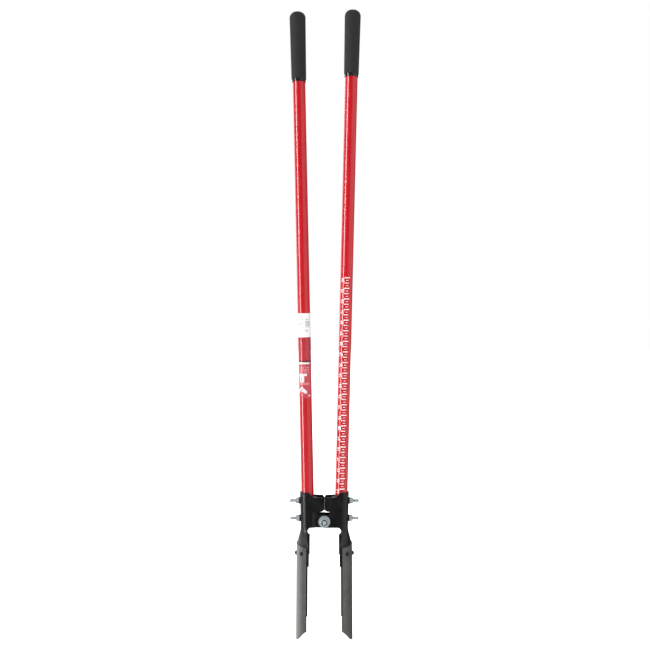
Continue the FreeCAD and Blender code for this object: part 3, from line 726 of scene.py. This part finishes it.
def depth_scale(material):
    """Ticks and numbers every inch, laid on the front of the right tube."""
    line = handle_line("right")
    to_line = line.inverted()
    height_of_first = (to_line @ Vector((middle("right_core_plug").x, 0, FIRST_MARK_HEIGHT))).z
    bpy.ops.object.select_all(action="DESELECT")
    marks = []
    for inch in range(FIRST_INCH, LAST_INCH + 1):
        height = height_of_first + (inch - FIRST_INCH) * INCH
        marks.append(tick(height, -4.8 * MM, 7.6 * MM, 2.3 * MM))
        marks.append(numeral(str(inch), height - 6.2 * MM))
        if inch < LAST_INCH:
            marks.append(tick(height + INCH / 2, -4.8 * MM, 5.8 * MM, 1.9 * MM))
            for quarter in (0.25, 0.75):
                marks.append(tick(height + INCH * quarter, -1.2 * MM, 4.4 * MM, 1.3 * MM))
    bpy.ops.object.select_all(action="DESELECT")
    for mark in marks:
        mark.select_set(True)
    piece = marks[0]
    bpy.context.view_layer.objects.active = piece
    bpy.ops.object.join()
    piece.name = "depth_scale"
    for across in range(-12, 9):
        shape(piece)
        bpy.ops.mesh.bisect(plane_co=(across * MM, 0, 0), plane_no=(1, 0, 0))
        leave()
    radius = radius_about(line, "right_handle_tube")
    for corner in piece.data.vertices:
        corner.co.y = -math.sqrt(radius ** 2 - corner.co.x ** 2) * (radius + 0.07 * MM) / radius
    shape(piece)
    bpy.ops.mesh.remove_doubles(threshold=0.000002)
    bpy.ops.mesh.quads_convert_to_tris()
    leave()
    if sum(face.normal.y * face.area for face in piece.data.polygons) > 0:
        shape(piece)
        bpy.ops.mesh.flip_normals()
        leave()
    select_only(piece)
    bpy.ops.object.shade_smooth()
    settle(piece, line)
    hand_over(piece, "right_half", material, "barcode_label")


# ---------------------------------------------------------------- dress the whole tool

def dress_frame_pieces(zinc):
    yoke = black_powder_coat()
    rivet = dark_rivet()
    collar = collar_plastic()
    for side in SIDES:
        dress(nodes[side + "_handle_tube"], red_fibreglass(side))
        dress(nodes[side + "_core_plug"], turned_wood(side))
        dress(nodes[side + "_grip_collar"], collar)
        dress(nodes[side + "_yoke"], yoke)
        dress(nodes[side + "_blade"], blade_steel(side))
        for place in ("middle", "front", "rear"):
            dress(nodes["%s_rivet_%s" % (side, place)], rivet)
        for level in ("upper", "lower"):
            for fitting in ("nut", "nut_washer", "head_washer"):
                dress(nodes["%s_%s_%s" % (side, level, fitting)], zinc)
    for fitting in ("lock_nut", "front_washer", "rear_washer", "spacer"):
        dress(nodes["pivot_" + fitting], zinc)
    dress(nodes["product_label"], red_product_label())
    dress(nodes["barcode_label"], white_stock_label())


HANDLE_BOLT = (4.0 * MM, 1.25 * MM)  # thread radius and pitch
PIVOT_BOLT = (5.0 * MM, 1.5 * MM)


def make_pieces(zinc):
    foam = charcoal_foam()
    for side in SIDES:
        foam_grip(side, foam)
        for level in ("upper", "lower"):
            name = "%s_%s_" % (side, level)
            threaded_bolt(name + "bolt", name + "nut", name + "head_washer", HANDLE_BOLT,
                          side + "_half", zinc)
    threaded_bolt("pivot_bolt", "pivot_lock_nut", "pivot_rear_washer", PIVOT_BOLT, "left_half", zinc)
    nylon_ring(grimy_nylon())
    depth_scale(white_scale_ink())


# ---------------------------------------------------------------- studio

DEGREES = 180.0 / math.pi
AMBIENT = 0.03


def softbox(turn, lift, start, end, low, high, soft=8.0):
    """1 for the directions inside a soft rectangle of the room, in degrees."""
    return turn.within(start, end, soft) * lift.within(low, high, soft)


def studio_room():
    """A white room seen by the camera, and soft lights round the tool seen by the tool."""
    world = bpy.data.worlds.new("studio")
    bpy.context.scene.world = world
    world.use_nodes = True
    room_nodes = Nodes(world.node_tree)
    x, y, z = room_nodes.node("TexCoord", output=0).parts()
    turn = room_nodes.node("Math", {0: x, 1: -y}, operation="ARCTAN2") * DEGREES
    lift = room_nodes.node("Math", {0: z}, operation="ARCSINE") * DEGREES
    strip = softbox(turn, lift, -63.5, -56.5, -40.0, 40.0, 2.0) * 18.0
    right_panel = softbox(turn, lift, 30.0, 110.0, -40.0, 45.0) * 0.62
    left_rear = softbox(abs(turn + 150.0), lift, 0.0, 34.0, -40.0, 45.0) * 1.4
    overhead = lift.within(35.0, 80.0, 10.0) * 0.7
    room = strip + right_panel + left_rear + overhead + AMBIENT
    shader = world.node_tree.nodes["Background"]
    seen = room_nodes.node("LightPath", output=0)
    light = room_nodes.node("CombineColor", {0: room, 1: room, 2: room})
    both = room_nodes.mixed(seen, light, (1.0, 1.0, 1.0, 1))
    world.node_tree.links.new(both.socket, shader.inputs["Color"])


FLOOR_SIZE = 24.0


def studio_floor():
    """A plain pale floor, wide enough for its edges to stay out of sight."""
    floor = start(bpy.ops.mesh.primitive_plane_add, "studio_floor", size=FLOOR_SIZE, location=(0, 4.0, 0))
    bpy.ops.object.transform_apply(location=True)
    finish = Finish("pale_floor", specular_ior_level=0.1, emission_color=(1.0, 1.0, 1.0, 1.0),
                    emission_strength=1.0)
    mottle = finish.noise(finish.place(), 0.4, 3.0)
    colour = finish.mixed(mottle, (0.93, 0.93, 0.93, 1), (0.96, 0.96, 0.96, 1))
    dress(floor, finish.use(base_color=colour, roughness=mottle.spread(0.0, 1.0, 0.8, 0.95)))
    floor.visible_glossy = False


CAMERA_PLACE = (0.0008, -2.1, 0.79)
CAMERA_DIP = 0.84  # degrees below level
CAMERA_ROLL = -0.09
LENS = 48.18


def studio_camera():
    data = bpy.data.cameras.new("camera")
    data.sensor_width = 36.0
    data.lens = LENS
    camera = bpy.data.objects.new("camera", data)
    bpy.context.scene.collection.objects.link(camera)
    camera.location = CAMERA_PLACE
    camera.rotation_euler = (math.radians(90.0 - CAMERA_DIP), math.radians(CAMERA_ROLL), 0)
    bpy.context.scene.camera = camera
    bpy.context.scene.view_settings.view_transform = "Standard"


zinc_finish = bright_zinc()
dress_frame_pieces(zinc_finish)
make_pieces(zinc_finish)
studio_room()
studio_floor()
studio_camera()
